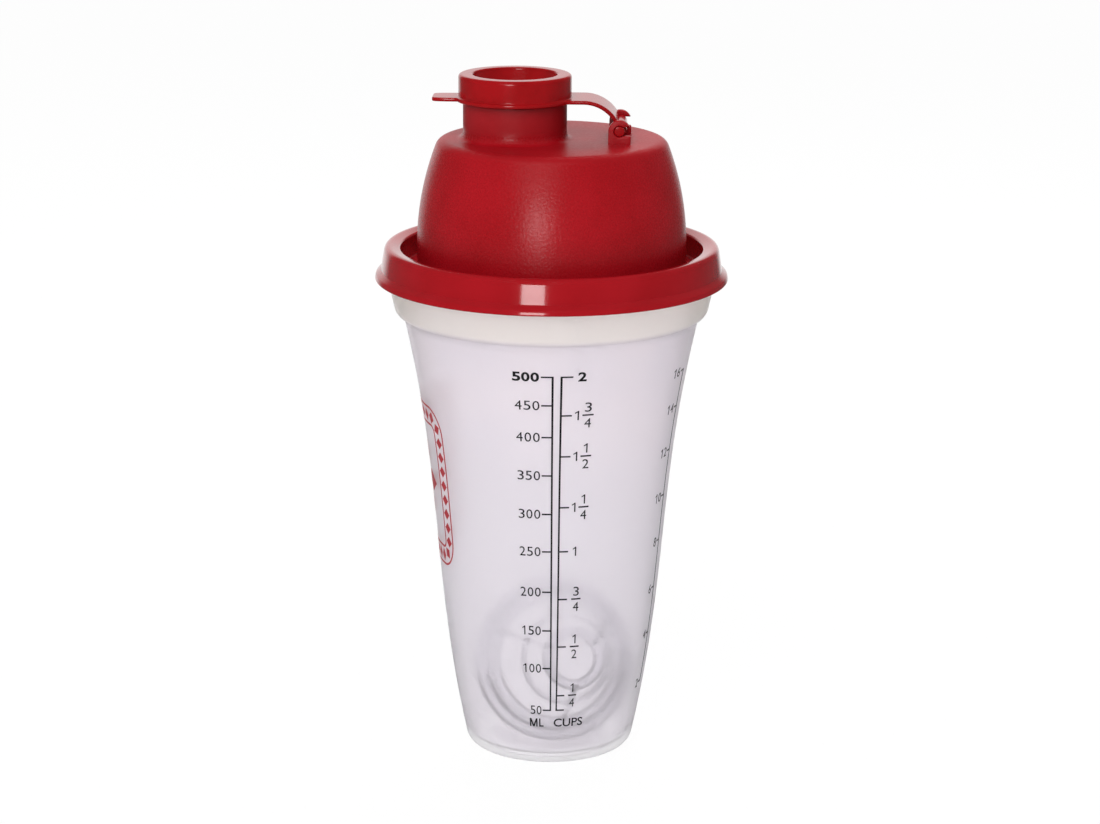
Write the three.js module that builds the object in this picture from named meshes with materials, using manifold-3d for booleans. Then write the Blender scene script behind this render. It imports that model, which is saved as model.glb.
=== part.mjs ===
// Batter shaker bottle: a tapered cup, a press-on lid with a pouring spout, a hinged flip cap
// and a loose mixing wheel inside. Millimetres, +Z up, origin under the middle of the base.
// X runs from the spout (-X) to the cap's hinge (+X), and -Y is the front.

import * as THREE from 'three';
import { mergeVertices } from 'three/addons/utils/BufferGeometryUtils.js';
import Module from 'manifold-3d';

// Cup
const cupRimHeight = 162.6;
const cupRimRadius = 51;
const cupWall = 1.8;
const cupFloor = 2.6;
const footRadius = 24.2;
const footWidth = 6.5;
const footRecess = 1;
const baseRadius = 27.1;
const baseCorner = 3;
const bandHeight = 20.2;
const shoulderRadius = 46.7;
const stepRise = 2.2;
const stepReach = 2.8;
const stepRound = 0.7;
const bandFlare = 7;
const wallLeanLow = 0.21;
const wallLeanHigh = 0.23;
const wallHandle = 55;

// Lid
const lidWall = 1.5;
const lidClearance = 0.35;
const lipDepth = 10.7;
const lipReach = 2.75;
const lipFlare = 5.5;
const lipEdge = 1.3;
const lipDraft = 0.4;
const lipShoulder = 1.85;
const lipRise = 2.7;
const beadLean = 0.65;
const beadCrown = 0.25;
const beadDrop = 0.9;
const beadRoundOuter = 1.4;
const beadRoundInner = 0.7;
const moatDepth = 8;
const moatCorner = 1;
const domeRadius = 42.2;
const domeRise = 33.4;
const domeEdgeRadius = 36.4;
const domeEdgeDrop = 2.4;
const domeFlatRadius = 32.6;
const domeTopWall = 1.6;

// Spout
const spoutOffset = -11.6;
const spoutRadius = 16.15;
const spoutHeight = 11.5;
const spoutFillet = 1.4;
const neckRadius = 15.3;
const neckHeight = 2.7;
const neckWall = 1.4;
const neckEdge = 0.4;

// Flip cap
const capClearance = 0.9;
const capWall = 1.4;
const capHeight = 8.2;
const capCrestOuter = 2.2;
const capCrestInner = 1;
const flangeReach = 0.9;
const flangeThickness = 1.2;
const flangeFillet = 0.6;
const wellRadius = 13;
const wellDepth = 5.2;
const wellDraft = 1.4;
const tabLength = 25.6;
const tabWidth = 10.5;
const tabCorner = 2;
const strapWidth = 17.2;
const strapBend = 11.6;

// Hinge
const pinX = 21;
const pinHeight = 4;
const pinRadius = 1.6;
const pinClearance = 0.3;
const pinRecess = 0.1;
const barrelRadius = 2.2;
const earRadius = 3.45;
const earThickness = 2.2;
const earSideGap = 0.35;
const earSnap = 0.2;

// Mixing wheel
const wheelRadius = 26.4;
const wheelThickness = 3;
const wheelRimWidth = 4.3;
const wheelStepLap = 0.9;
const wheelStepWidth = 4.1;
const wheelStepRise = 2;
const wheelMidRadius = 14;
const wheelMidWidth = 1.4;
const wheelHubRadius = 10;
const wheelHubWidth = 3.3;
const wheelDish = 20;
const wheelBlades = 3;
const wheelBladePhase = 0.25;
const wheelBladeThickness = 1.3;
const wheelAzimuth = THREE.MathUtils.degToRad(20);
const wheelLean = THREE.MathUtils.degToRad(-19);

// Fits and facets
const seatGap = 0.3;
const weld = 0.4;
const mergeTolerance = 1e-4;
const seatStep = 0.1;
const seatHalvings = 30;
const roundSegments = 48;
const capSegments = 48;
const pinSegments = 20;
const wallSteps = 9;
const domeSteps = 6;
const cornerSteps = 3;

const lidRed = new THREE.MeshStandardMaterial({ color: 0xa31c25, roughness: 0.42, metalness: 0 });
const capRed = new THREE.MeshStandardMaterial({ color: 0xa0161c, roughness: 0.28, metalness: 0 });
const frosted = new THREE.MeshStandardMaterial({
  color: 0xdcd8de, roughness: 0.5, metalness: 0, transparent: true, opacity: 0.7,
});
const natural = new THREE.MeshStandardMaterial({ color: 0xe6e4e6, roughness: 0.45, metalness: 0 });

const wasm = await Module();
wasm.setup();

const at = (radius, height) => new THREE.Vector2(radius, height);

function bend(start, corner, end, steps = cornerSteps) {
  return new THREE.QuadraticBezierCurve(start, corner, end).getPoints(steps);
}

// A corner between two straights, rounded off from reach before it to reach after it
function roundOff(before, corner, after, reach) {
  const start = corner.clone().lerp(before, reach / corner.distanceTo(before));
  const end = corner.clone().lerp(after, reach / corner.distanceTo(after));
  return bend(start, corner, end);
}

// A closed geometry as a solid that can be joined and cut: shared corners are merged and the
// triangles that a revolved profile folds flat on its axis are dropped.
function solid(geometry) {
  geometry.deleteAttribute('normal');
  geometry.deleteAttribute('uv');
  const merged = mergeVertices(geometry, mergeTolerance);
  const corners = merged.index.array;
  const triangles = [];
  for (let first = 0; first < corners.length; first += 3) {
    const [a, b, c] = corners.slice(first, first + 3);
    if (a !== b && b !== c && c !== a) {
      triangles.push(a, b, c);
    }
  }
  return new wasm.Manifold(new wasm.Mesh({
    numProp: 3,
    vertProperties: new Float32Array(merged.attributes.position.array),
    triVerts: new Uint32Array(triangles),
  }));
}

function revolve(profile, segments = roundSegments, x = 0) {
  const geometry = new THREE.LatheGeometry(profile, segments);
  return solid(geometry.rotateX(Math.PI / 2).translate(x, 0, 0));
}

function cylinder(radius, bottom, top, segments, x) {
  return revolve([at(0, bottom), at(radius, bottom), at(radius, top), at(0, top)], segments, x);
}

// An outline in the XZ plane, made as thick as width and centred on y
function slab(outline, width, y = 0) {
  const geometry = new THREE.ExtrudeGeometry(outline, { depth: width, bevelEnabled: false });
  return solid(geometry.rotateX(Math.PI / 2).translate(0, y + width / 2, 0));
}

function rod(radius, length, x, z) {
  const geometry = new THREE.CylinderGeometry(radius, radius, length, pinSegments);
  return solid(geometry.translate(x, 0, z));
}

function mesh(name, body, material) {
  const { vertProperties, triVerts } = body.getMesh();
  const geometry = new THREE.BufferGeometry();
  geometry.setAttribute('position', new THREE.BufferAttribute(vertProperties, 3));
  geometry.setIndex(new THREE.BufferAttribute(triVerts, 1));
  geometry.computeVertexNormals();
  const piece = new THREE.Mesh(geometry, material);
  piece.name = name;
  return piece;
}

// The cup's tapered wall, pushed in by inset from its outside: steep at both ends, upright between
const shoulderHeight = cupRimHeight - bandHeight;

function cupWallCurve(inset) {
  const low = at(baseRadius - inset, baseCorner);
  const high = at(shoulderRadius - inset, shoulderHeight);
  const lowHandle = at(low.x + wallLeanLow * wallHandle, low.y + wallHandle);
  const highHandle = at(high.x - wallLeanHigh * wallHandle, high.y - wallHandle);
  return new THREE.CubicBezierCurve(low, lowHandle, highHandle, high).getPoints(wallSteps);
}

// The rounded step up to the band, and the band up to the rim
function cupBandCurve(inset) {
  const low = at(shoulderRadius - inset, shoulderHeight);
  const high = at(low.x + stepReach, low.y + stepRise);
  const step = bend(low, at(high.x - stepRound, low.y), high);
  return [...step, at(cupRimRadius - inset, high.y + bandFlare)];
}

// The cup's inside from the floor's edge up: a rounded corner, then the wall and the band
const cupInsideWall = cupWallCurve(cupWall).slice(1);
const cupInside = [
  ...bend(at(footRadius - cupWall, cupFloor), at(baseRadius - cupWall, cupFloor), cupInsideWall[0]),
  ...cupInsideWall.slice(1),
  ...cupBandCurve(cupWall).slice(1),
];

function makeCup() {
  const profile = [
    at(0, footRecess),
    at(footRadius - footWidth - footRecess, footRecess),
    at(footRadius - footWidth, 0),
    ...bend(at(footRadius, 0), at(baseRadius - wallLeanLow * baseCorner, 0), at(baseRadius, baseCorner)),
    ...cupWallCurve(0).slice(1),
    ...cupBandCurve(0).slice(1),
    ...bend(
      at(cupRimRadius, cupRimHeight - cupWall / 2),
      at(cupRimRadius, cupRimHeight),
      at(cupRimRadius - cupWall / 2, cupRimHeight),
    ),
    ...bend(
      at(cupRimRadius - cupWall / 2, cupRimHeight),
      at(cupRimRadius - cupWall, cupRimHeight),
      at(cupRimRadius - cupWall, cupRimHeight - cupWall / 2),
    ).slice(1),
    ...[...cupInside].reverse(),
    at(0, cupFloor),
  ];
  return revolve(profile);
}

// Lid levels and radii, which follow the cup's rim
const skirtInner = cupRimRadius + lidClearance;
const skirtOuter = skirtInner + lidWall;
const plugOuter = cupRimRadius - cupWall - lidClearance;
const plugInner = plugOuter - lidWall;
const channelTop = cupRimHeight + seatGap;
const beadTop = channelTop + lidWall;
const moatFloor = beadTop - moatDepth;
const lipBottom = beadTop - lipDepth;
const lipRadius = skirtOuter + lipReach;
const domeTop = beadTop + domeRise;

// The bead's corners: its outer face leans in from its foot, and its top slopes down to the moat
const beadFoot = at(skirtOuter + beadLean, lipBottom + lipRise);
const beadShoulder = at(skirtOuter - beadLean, beadTop + beadCrown);
const beadInner = at(plugInner, beadTop - beadDrop);
const moatInner = at(plugInner, moatFloor + moatCorner);

// The dome's side: upright at the bead's level, drawn in towards its top edge
function domeSide(inset, edgeHeight) {
  const low = at(domeRadius - inset, beadTop);
  const high = at(domeEdgeRadius - inset, edgeHeight);
  return bend(low, at(low.x, (low.y + high.y) / 2), high, domeSteps);
}

function makeLidShell() {
  const edgeHeight = domeTop - domeEdgeDrop;
  const edgeLean = (domeRadius - domeEdgeRadius) / ((edgeHeight - beadTop) / 2);
  const edgeCorner = at(domeEdgeRadius - edgeLean * domeEdgeDrop, domeTop);
  const ceiling = domeTop - domeTopWall;
  const profile = [
    at(0, ceiling),
    at(domeFlatRadius - domeTopWall, ceiling),
    ...domeSide(lidWall, edgeHeight - domeTopWall).reverse(),
    at(domeRadius - lidWall, moatFloor - lidWall),
    at(plugOuter - moatCorner, moatFloor - lidWall),
    at(plugOuter, moatFloor - lidWall + moatCorner),
    at(plugOuter, channelTop),
    at(skirtInner, channelTop),
    ...bend(
      at(skirtInner, lipBottom + lipFlare),
      at(skirtInner, lipBottom + lipEdge),
      at(lipRadius - lipEdge, lipBottom),
    ),
    ...bend(
      at(lipRadius - lipEdge / 2, lipBottom),
      at(lipRadius, lipBottom),
      at(lipRadius, lipBottom + lipEdge / 2),
    ),
    at(lipRadius - lipDraft, lipBottom + lipShoulder),
    beadFoot,
    ...roundOff(beadFoot, beadShoulder, beadInner, beadRoundOuter),
    ...roundOff(beadShoulder, beadInner, moatInner, beadRoundInner),
    moatInner,
    at(plugInner - moatCorner, moatFloor),
    at(domeRadius + moatCorner, moatFloor),
    at(domeRadius, moatFloor + moatCorner),
    ...domeSide(0, edgeHeight),
    ...bend(at(domeEdgeRadius, edgeHeight), edgeCorner, at(domeFlatRadius, domeTop)).slice(1),
    at(0, domeTop),
  ];
  return revolve(profile);
}

// Spout levels
const spoutShoulder = domeTop + spoutHeight;
const spoutRim = spoutShoulder + neckHeight;
const boreRadius = neckRadius - neckWall;

function makeSpout() {
  const profile = [
    at(0, domeTop - weld),
    at(spoutRadius + spoutFillet, domeTop - weld),
    ...bend(
      at(spoutRadius + spoutFillet, domeTop),
      at(spoutRadius, domeTop),
      at(spoutRadius, domeTop + spoutFillet),
    ),
    at(spoutRadius, spoutShoulder - neckEdge),
    at(spoutRadius - neckEdge, spoutShoulder),
    at(neckRadius, spoutShoulder),
    at(neckRadius, spoutRim - neckEdge),
    at(neckRadius - neckEdge, spoutRim),
    at(0, spoutRim),
  ];
  return revolve(profile, capSegments, spoutOffset);
}

// Hinge places: the pin lies along Y, in two hooked ears that open towards +X
const pinZ = domeTop + pinHeight;
const earInner = strapWidth / 2 + earSideGap;
const earOuter = earInner + earThickness;

function makeEar(side) {
  const hole = pinRadius + pinClearance;
  const slot = pinRadius - earSnap;
  const mouth = Math.asin(slot / hole);
  const tip = Math.asin(slot / earRadius);
  const outline = new THREE.Shape();
  outline.moveTo(pinX - earRadius, domeTop - weld);
  outline.lineTo(pinX + earRadius, domeTop - weld);
  outline.lineTo(pinX + earRadius, pinZ - slot);
  outline.absarc(pinX, pinZ, hole, -mouth, mouth, true);
  outline.absarc(pinX, pinZ, earRadius, tip, Math.PI, false);
  outline.closePath();
  return slab(outline, earThickness, side * (earInner + earOuter) / 2);
}

function makeLid() {
  const bore = cylinder(boreRadius, domeTop - domeTopWall - weld, spoutRim + weld, capSegments, spoutOffset);
  return makeLidShell().add(makeSpout()).add(makeEar(-1)).add(makeEar(1)).subtract(bore);
}

// Cap levels and radii, which follow the spout's neck
const capSkirtInner = neckRadius + capClearance;
const capSkirtOuter = capSkirtInner + capWall;
const flangeBottom = spoutShoulder + seatGap;
const flangeTop = flangeBottom + flangeThickness;
const flangeRadius = capSkirtOuter + flangeReach;
const capCrest = flangeBottom + capHeight;
const wellFloor = capCrest - wellDepth;
const strapZ = flangeBottom + flangeThickness / 2;

function makeCapRing() {
  const profile = [
    at(0, wellFloor - capWall),
    at(wellRadius - wellDraft + capWall, wellFloor - capWall),
    at(wellRadius + capWall, capCrest - capWall - capCrestInner),
    at(wellRadius + capWall, capCrest - capWall),
    at(capSkirtInner - capWall / 2, capCrest - capWall),
    at(capSkirtInner, capCrest - capWall - capCrestOuter / 2),
    at(capSkirtInner, flangeBottom),
    at(flangeRadius, flangeBottom),
    at(flangeRadius, flangeTop),
    ...bend(
      at(capSkirtOuter + flangeFillet, flangeTop),
      at(capSkirtOuter, flangeTop),
      at(capSkirtOuter, flangeTop + flangeFillet),
    ),
    ...bend(
      at(capSkirtOuter, capCrest - capCrestOuter),
      at(capSkirtOuter, capCrest),
      at(capSkirtOuter - capCrestOuter, capCrest),
    ),
    ...bend(
      at(wellRadius + capCrestInner, capCrest),
      at(wellRadius, capCrest),
      at(wellRadius, capCrest - capCrestInner),
    ),
    at(wellRadius - wellDraft, wellFloor),
    at(0, wellFloor),
  ];
  return revolve(profile, capSegments, spoutOffset);
}

function makeTab() {
  const end = spoutOffset - tabLength;
  const side = tabWidth / 2;
  const outline = new THREE.Shape();
  outline.moveTo(spoutOffset, -side);
  outline.lineTo(spoutOffset, side);
  outline.lineTo(end + tabCorner, side);
  outline.absarc(end + tabCorner, side - tabCorner, tabCorner, Math.PI / 2, Math.PI, false);
  outline.absarc(end + tabCorner, tabCorner - side, tabCorner, Math.PI, Math.PI * 1.5, false);
  outline.closePath();
  const options = { depth: flangeThickness, bevelEnabled: false, curveSegments: cornerSteps };
  return solid(new THREE.ExtrudeGeometry(outline, options).translate(0, 0, flangeBottom));
}

// The strap leaves the cap level and bends down into the hinge's barrel
function makeStrap() {
  const centreZ = strapZ - strapBend;
  const endAngle = Math.asin((pinZ - centreZ) / strapBend);
  const centreX = pinX - strapBend * Math.cos(endAngle);
  const half = flangeThickness / 2;
  const outline = new THREE.Shape();
  outline.moveTo(spoutOffset, strapZ - half);
  outline.absarc(centreX, centreZ, strapBend - half, Math.PI / 2, endAngle, true);
  outline.absarc(centreX, centreZ, strapBend + half, endAngle, Math.PI / 2, false);
  outline.lineTo(spoutOffset, strapZ + half);
  outline.closePath();
  return slab(outline, strapWidth);
}

function makeCap() {
  const inside = cylinder(
    capSkirtInner + capWall / 2, flangeBottom - capHeight, capCrest, capSegments, spoutOffset,
  );
  const arms = makeTab().add(makeStrap()).subtract(inside);
  const barrel = rod(barrelRadius, strapWidth, pinX, pinZ);
  const pin = rod(pinRadius, 2 * (earOuter - pinRecess), pinX, pinZ);
  return makeCapRing().add(arms).add(barrel).add(pin);
}

// The wheel is dished: inside its flat rim and the raised ring next to it, a straight slope rises
// along the wheel's axis to the hub
const stepRadius = wheelRadius - wheelRimWidth + wheelStepLap;
const slopeStart = stepRadius - wheelStepWidth / 2;
const slopeEnd = wheelHubRadius - wheelHubWidth / 2;

function dishAt(radius) {
  const share = (slopeStart - radius) / (slopeStart - slopeEnd);
  return wheelStepRise + (wheelDish - wheelStepRise) * share;
}

const wheelRings = [
  { outer: wheelRadius, width: wheelRimWidth, rise: 0 },
  { outer: stepRadius, width: wheelStepWidth, rise: wheelStepRise },
  { outer: wheelMidRadius + wheelMidWidth / 2, width: wheelMidWidth, rise: dishAt(wheelMidRadius) },
  { outer: wheelHubRadius, width: wheelHubWidth, rise: wheelDish },
];

function makeRing({ outer, width, rise }) {
  const half = wheelThickness / 2;
  const inner = outer - width;
  const profile = [
    at(inner, rise - half),
    at(outer, rise - half),
    at(outer, rise + half),
    at(inner, rise + half),
    at(inner, rise - half),
  ];
  return revolve(profile, capSegments);
}

function makeBlade(angle) {
  const half = wheelThickness / 2;
  const outline = new THREE.Shape([
    at(slopeEnd, wheelDish - half),
    at(slopeStart, wheelStepRise - half),
    at(slopeStart, wheelStepRise + half),
    at(slopeEnd, wheelDish + half),
  ]);
  const options = { depth: wheelBladeThickness, bevelEnabled: false };
  const geometry = new THREE.ExtrudeGeometry(outline, options);
  geometry.translate(0, 0, -wheelBladeThickness / 2).rotateX(Math.PI / 2).rotateZ(angle);
  return solid(geometry);
}

function makeWheel() {
  let wheel = makeBlade(wheelBladePhase * 2 * Math.PI / wheelBlades);
  for (let blade = 1; blade < wheelBlades; blade++) {
    wheel = wheel.add(makeBlade((blade + wheelBladePhase) * 2 * Math.PI / wheelBlades));
  }
  for (const ring of wheelRings) {
    wheel = wheel.add(makeRing(ring));
  }
  return wheel;
}

function insideRadius(height) {
  const above = cupInside.findIndex((point) => point.y > height);
  if (above < 1) {
    return cupInside[above < 0 ? cupInside.length - 1 : 0].x;
  }
  const [low, high] = cupInside.slice(above - 1, above + 1);
  return low.x + (high.x - low.x) * (height - low.y) / (high.y - low.y);
}

// The least gap between the wheel's rings and the cup's inside, with the wheel stood on edge,
// offset towards the wall it leans on and its centre at height
function wheelGap(offset, height) {
  let least = Infinity;
  for (const ring of wheelRings) {
    for (const face of [ring.rise - wheelThickness / 2, ring.rise + wheelThickness / 2]) {
      for (let corner = 0; corner < capSegments; corner++) {
        const angle = 2 * Math.PI * corner / capSegments;
        const up = ring.outer * Math.sin(angle);
        const x = ring.outer * Math.cos(angle);
        const y = offset + up * Math.sin(wheelLean) + face * Math.cos(wheelLean);
        const z = height + up * Math.cos(wheelLean) - face * Math.sin(wheelLean);
        least = Math.min(least, z - cupFloor, insideRadius(z) - Math.hypot(x, y));
      }
    }
  }
  return least;
}

// The wheel stands on the floor, or higher where the cup is too narrow for it, and leans on the wall
function seatWheel() {
  let height = cupFloor + wheelRadius * Math.cos(wheelLean);
  while (wheelGap(0, height) < seatGap) {
    height += seatStep;
  }
  let offset = 0;
  let wall = cupRimRadius;
  for (let halving = 0; halving < seatHalvings; halving++) {
    const middle = (offset + wall) / 2;
    if (wheelGap(middle, height) > seatGap) {
      offset = middle;
    } else {
      wall = middle;
    }
  }
  return { offset, height };
}

const wheel = mesh('mixing_wheel', makeWheel(), natural);
const seat = seatWheel();
wheel.position.set(0, -seat.offset, seat.height);
wheel.rotation.x = Math.PI / 2 + wheelLean;
const wheelStand = new THREE.Group();
wheelStand.rotation.z = wheelAzimuth;
wheelStand.add(wheel);

const shaker = new THREE.Group();
shaker.add(mesh('cup', makeCup(), frosted));
shaker.add(mesh('lid', makeLid(), lidRed));
shaker.add(mesh('flip_cap', makeCap(), capRed));
shaker.add(wheelStand);

export default shaker;
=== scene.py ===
# Batter shaker bottle: a frosted cup, a red press-on lid with a spout, a hinged flip cap and a
# loose mixing wheel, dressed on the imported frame. The pieces' sizes are millimetres and degrees, the
# studio's metres; +Z is up, -Y is the front, and azimuths run from the front towards +X.
import math

import bmesh
import bpy
import numpy as np
from mathutils import Matrix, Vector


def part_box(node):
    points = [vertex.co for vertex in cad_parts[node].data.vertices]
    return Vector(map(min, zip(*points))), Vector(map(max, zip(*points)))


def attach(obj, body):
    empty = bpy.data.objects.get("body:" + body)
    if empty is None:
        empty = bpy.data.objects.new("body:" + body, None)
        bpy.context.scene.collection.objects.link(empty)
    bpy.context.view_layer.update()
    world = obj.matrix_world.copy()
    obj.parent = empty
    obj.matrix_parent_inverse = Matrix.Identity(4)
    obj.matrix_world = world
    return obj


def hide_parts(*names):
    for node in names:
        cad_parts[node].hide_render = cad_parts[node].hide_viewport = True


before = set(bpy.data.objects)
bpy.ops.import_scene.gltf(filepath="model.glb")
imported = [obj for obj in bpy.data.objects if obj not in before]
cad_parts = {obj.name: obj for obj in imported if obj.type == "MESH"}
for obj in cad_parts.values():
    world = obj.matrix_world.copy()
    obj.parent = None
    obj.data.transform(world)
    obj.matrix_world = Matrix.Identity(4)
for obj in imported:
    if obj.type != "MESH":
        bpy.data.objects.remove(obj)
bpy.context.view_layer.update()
mm = 0.001


# Shapes: paths, grids and pieces

# quadratic curve from start to end whose end tangents meet in corner
def bend(start, corner, end, steps=9):
    t = np.linspace(0, 1, steps)[:, None]
    start, corner, end = np.array(start, float), np.array(corner, float), np.array(end, float)
    return (1 - t) ** 2 * start + 2 * t * (1 - t) * corner + t ** 2 * end


# a polyline of (x, y, reach): each corner gives way to a curve that leaves its sides reach away
def softCorners(corners, steps=9):
    corners = np.array(corners, float)
    points, reaches = corners[:, :2], corners[:, 2]
    parts = [points[:1]]
    for before, corner, after, reach in zip(points, points[1:], points[2:], reaches[1:]):
        if reach == 0:
            parts.append(corner[None])
            continue
        start = corner + (before - corner) * reach / np.linalg.norm(before - corner)
        end = corner + (after - corner) * reach / np.linalg.norm(after - corner)
        parts.append(bend(start, corner, end, steps))
    return np.vstack(parts + [points[-1:]])


# the same path with extra points on its long straights, so that none is longer than step
def fillIn(path, step, loop=False):
    following = np.roll(path, -1, axis=0) if loop else path[1:]
    counts = np.ceil(np.linalg.norm(following - path[:len(following)], axis=1) / step).astype(int)
    parts = [np.linspace(a, b, max(n, 1), endpoint=False) for a, b, n in zip(path, following, counts)]
    return np.vstack(parts if loop else parts + [path[-1:]])


# a circle's points from one angle to another
def arc(centre, radius, start, end, steps):
    angles = np.linspace(start, end, steps)
    return np.column_stack([centre[0] + radius * np.cos(angles), centre[1] + radius * np.sin(angles)])


# how far each point of a line is from its start, along the line
def lengthAlong(line):
    return np.concatenate([[0], np.cumsum(np.linalg.norm(np.diff(line, axis=0), axis=1))])


# the line's values at some lengths along it
def pickAlong(line, length, places):
    return np.column_stack([np.interp(places, length, line[:, k]) for k in range(2)])


# unit normals of a closed outline, to its right as it runs
def outlineNormals(outline):
    along = np.roll(outline, -1, axis=0) - np.roll(outline, 1, axis=0)
    along /= np.linalg.norm(along, axis=1)[:, None]
    return np.column_stack([along[:, 1], -along[:, 0]])


# the place at an azimuth, a distance from the bottle's axis and a height
def roundBottle(azimuth, distance, height):
    turn = np.radians(azimuth)
    return np.stack(np.broadcast_arrays(distance * np.sin(turn), -distance * np.cos(turn), height), -1)


# each row (centre, radius, height) of a path turned round its own upright axis at x = centre
def turned(rows, angles):
    centre, radius, height = (rows[:, k, None] for k in range(3))
    flat = np.broadcast_arrays(centre + radius * np.cos(angles), radius * np.sin(angles), height)
    return np.stack(flat, -1)


# a path of (radius, height) as rows that turned takes
def aroundAxis(path, centre=0.0):
    return np.column_stack([np.full(len(path), centre), path])


# even angles round a full turn, without the last that meets the first
def fullTurn(columns):
    return np.arange(columns) * 2 * np.pi / columns


# the quads of a grid: columns always close up, rows close into a loop if asked
def gridQuads(rows, columns, loop):
    row = np.arange(rows if loop else rows - 1)[:, None]
    column = np.arange(columns)[None, :]
    nextRow, nextColumn = (row + 1) % rows, (column + 1) % columns
    corners = np.broadcast_arrays(row * columns + column, row * columns + nextColumn,
                                  nextRow * columns + nextColumn, nextRow * columns + column)
    return np.stack(corners, -1).reshape(-1, 4)


# a grid's points and faces; one that isn't a loop is closed by a face over its first and last row
def closedGrid(points, loop=False):
    rows, columns = points.shape[:2]
    faces = gridQuads(rows, columns, loop).tolist()
    if not loop:
        first = np.arange(columns)
        faces += [first.tolist(), (first + (rows - 1) * columns).tolist()]
    return points.reshape(-1, 3), faces


# one object out of closed solids, in millimetres, riding on a body of the frame
def addPiece(name, solids, material, body, smooth=True):
    points, faces, offset = [], [], 0
    for solidPoints, solidFaces in solids:
        points.append(solidPoints)
        faces += [[corner + offset for corner in face] for face in solidFaces]
        offset += len(solidPoints)
    mesh = bpy.data.meshes.new(name)
    mesh.from_pydata(np.vstack(points) * mm, [], faces)
    work = bmesh.new()
    work.from_mesh(mesh)
    bmesh.ops.remove_doubles(work, verts=work.verts, dist=1e-8)
    bmesh.ops.recalc_face_normals(work, faces=work.faces)
    work.to_mesh(mesh)
    work.free()
    mesh.polygons.foreach_set("use_smooth", np.full(len(mesh.polygons), smooth))
    mesh.materials.append(material)
    piece = bpy.data.objects.new(name, mesh)
    bpy.context.scene.collection.objects.link(piece)
    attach(piece, body)
    print("piece:", name, len(mesh.polygons), "faces on", body)
    return piece


# Finishes: one small class wraps a socket, so that shader maths reads as sums and products

class Wire:
    def __init__(self, finish, socket):
        self.finish = finish
        self.socket = socket

    def math(self, operation, *values):
        return self.finish.node("ShaderNodeMath", {"operation": operation}, dict(enumerate(values)))

    def __add__(self, other):
        return self.math("ADD", self, other)

    def __radd__(self, other):
        return self.math("ADD", other, self)

    def __sub__(self, other):
        return self.math("SUBTRACT", self, other)

    def __rsub__(self, other):
        return self.math("SUBTRACT", other, self)

    def __mul__(self, other):
        return self.math("MULTIPLY", self, other)

    def __rmul__(self, other):
        return self.math("MULTIPLY", other, self)

    def __truediv__(self, other):
        return self.math("DIVIDE", self, other)

    def __pow__(self, other):
        return self.math("POWER", self, other)

    def apart(self, other):
        return self.math("ABSOLUTE", self - other)

    # a noise, which runs from 0 to 1, as a swing of this size round nothing
    def swing(self, size):
        return (self - 0.5) * size

    # 0 below low, 1 above high, smooth between; high may be the lower of the two
    def step(self, low, high):
        return self.finish.node("ShaderNodeMapRange", {"interpolation_type": "SMOOTHSTEP"},
                                {"Value": self, "From Min": low, "From Max": high})


class Finish:
    def __init__(self, name, tree=None):
        if tree is None:
            self.material = bpy.data.materials.new(name)
            self.material.use_nodes = True
            tree = self.material.node_tree
        self.tree = tree
        self.tree.nodes.clear()

    # adds a node: its settings first, then the values or links of its sockets; gives one output
    def node(self, kind, settings=None, sockets=None, output=0):
        made = self.tree.nodes.new(kind)
        for key, value in (settings or {}).items():
            setattr(made, key, value)
        for key, value in (sockets or {}).items():
            if isinstance(value, Wire):
                self.tree.links.new(value.socket, made.inputs[key])
            else:
                made.inputs[key].default_value = value
        return Wire(self, made.outputs[output]) if made.outputs else None

    def place(self):
        return self.node("ShaderNodeTexCoord", output="Object")

    # the x, y and z of a vector wire
    def parts(self, vector):
        split = self.node("ShaderNodeSeparateXYZ", sockets={"Vector": vector}).socket.node
        return [Wire(self, split.outputs[k]) for k in range(3)]

    def noise(self, place, size, detail=2.0, roughness=0.5):
        return self.node("ShaderNodeTexNoise", sockets={
            "Vector": place, "Scale": 1 / (size * mm), "Detail": detail, "Roughness": roughness})

    # the Mix node's sockets 0, 6 and 7 and its output 2 are those of its colour mode
    def mix(self, factor, first, second):
        return self.node("ShaderNodeMix", {"data_type": "RGBA"}, {0: factor, 6: first, 7: second}, 2)

    def bump(self, height, strength, distance):
        return self.node("ShaderNodeBump", sockets={
            "Height": height, "Strength": strength, "Distance": distance * mm})

    def surface(self, shader):
        self.node("ShaderNodeOutputMaterial", sockets={"Surface": shader})
        return self.material

    def plastic(self, color, roughness, **sockets):
        sockets = {"Base Color": color, "Roughness": roughness, **sockets}
        return self.surface(self.node("ShaderNodeBsdfPrincipled", sockets=sockets))


# distance of (x, y) from the axis: the root of the sum of their squares
def away(x, y):
    return (x ** 2 + y ** 2) ** 0.5


# a colour as it is seen on a screen, 0 to 255, as linear light
def screenColor(red, green, blue):
    share = np.array([red, green, blue]) / 255
    linear = np.where(share <= 0.04045, share / 12.92, ((share + 0.055) / 1.055) ** 2.4)
    return (*linear.tolist(), 1.0)


frostLook = {
    "clear": screenColor(247, 242, 246), "dense": screenColor(243, 239, 244),
    "low": screenColor(241, 238, 242), "lowFade": (0.9, 0.5), "ivory": screenColor(247, 243, 238),
    "roughness": 0.305, "transmission": 0.8, "ior": 1.15,
    "grain": 0.9, "grainShare": 0.04, "grainDepth": 0.1, "bump": 0.06,
    "cloud": 34, "cloudSpread": (0.35, 0.65), "cloudShare": 0.03,
}


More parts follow.
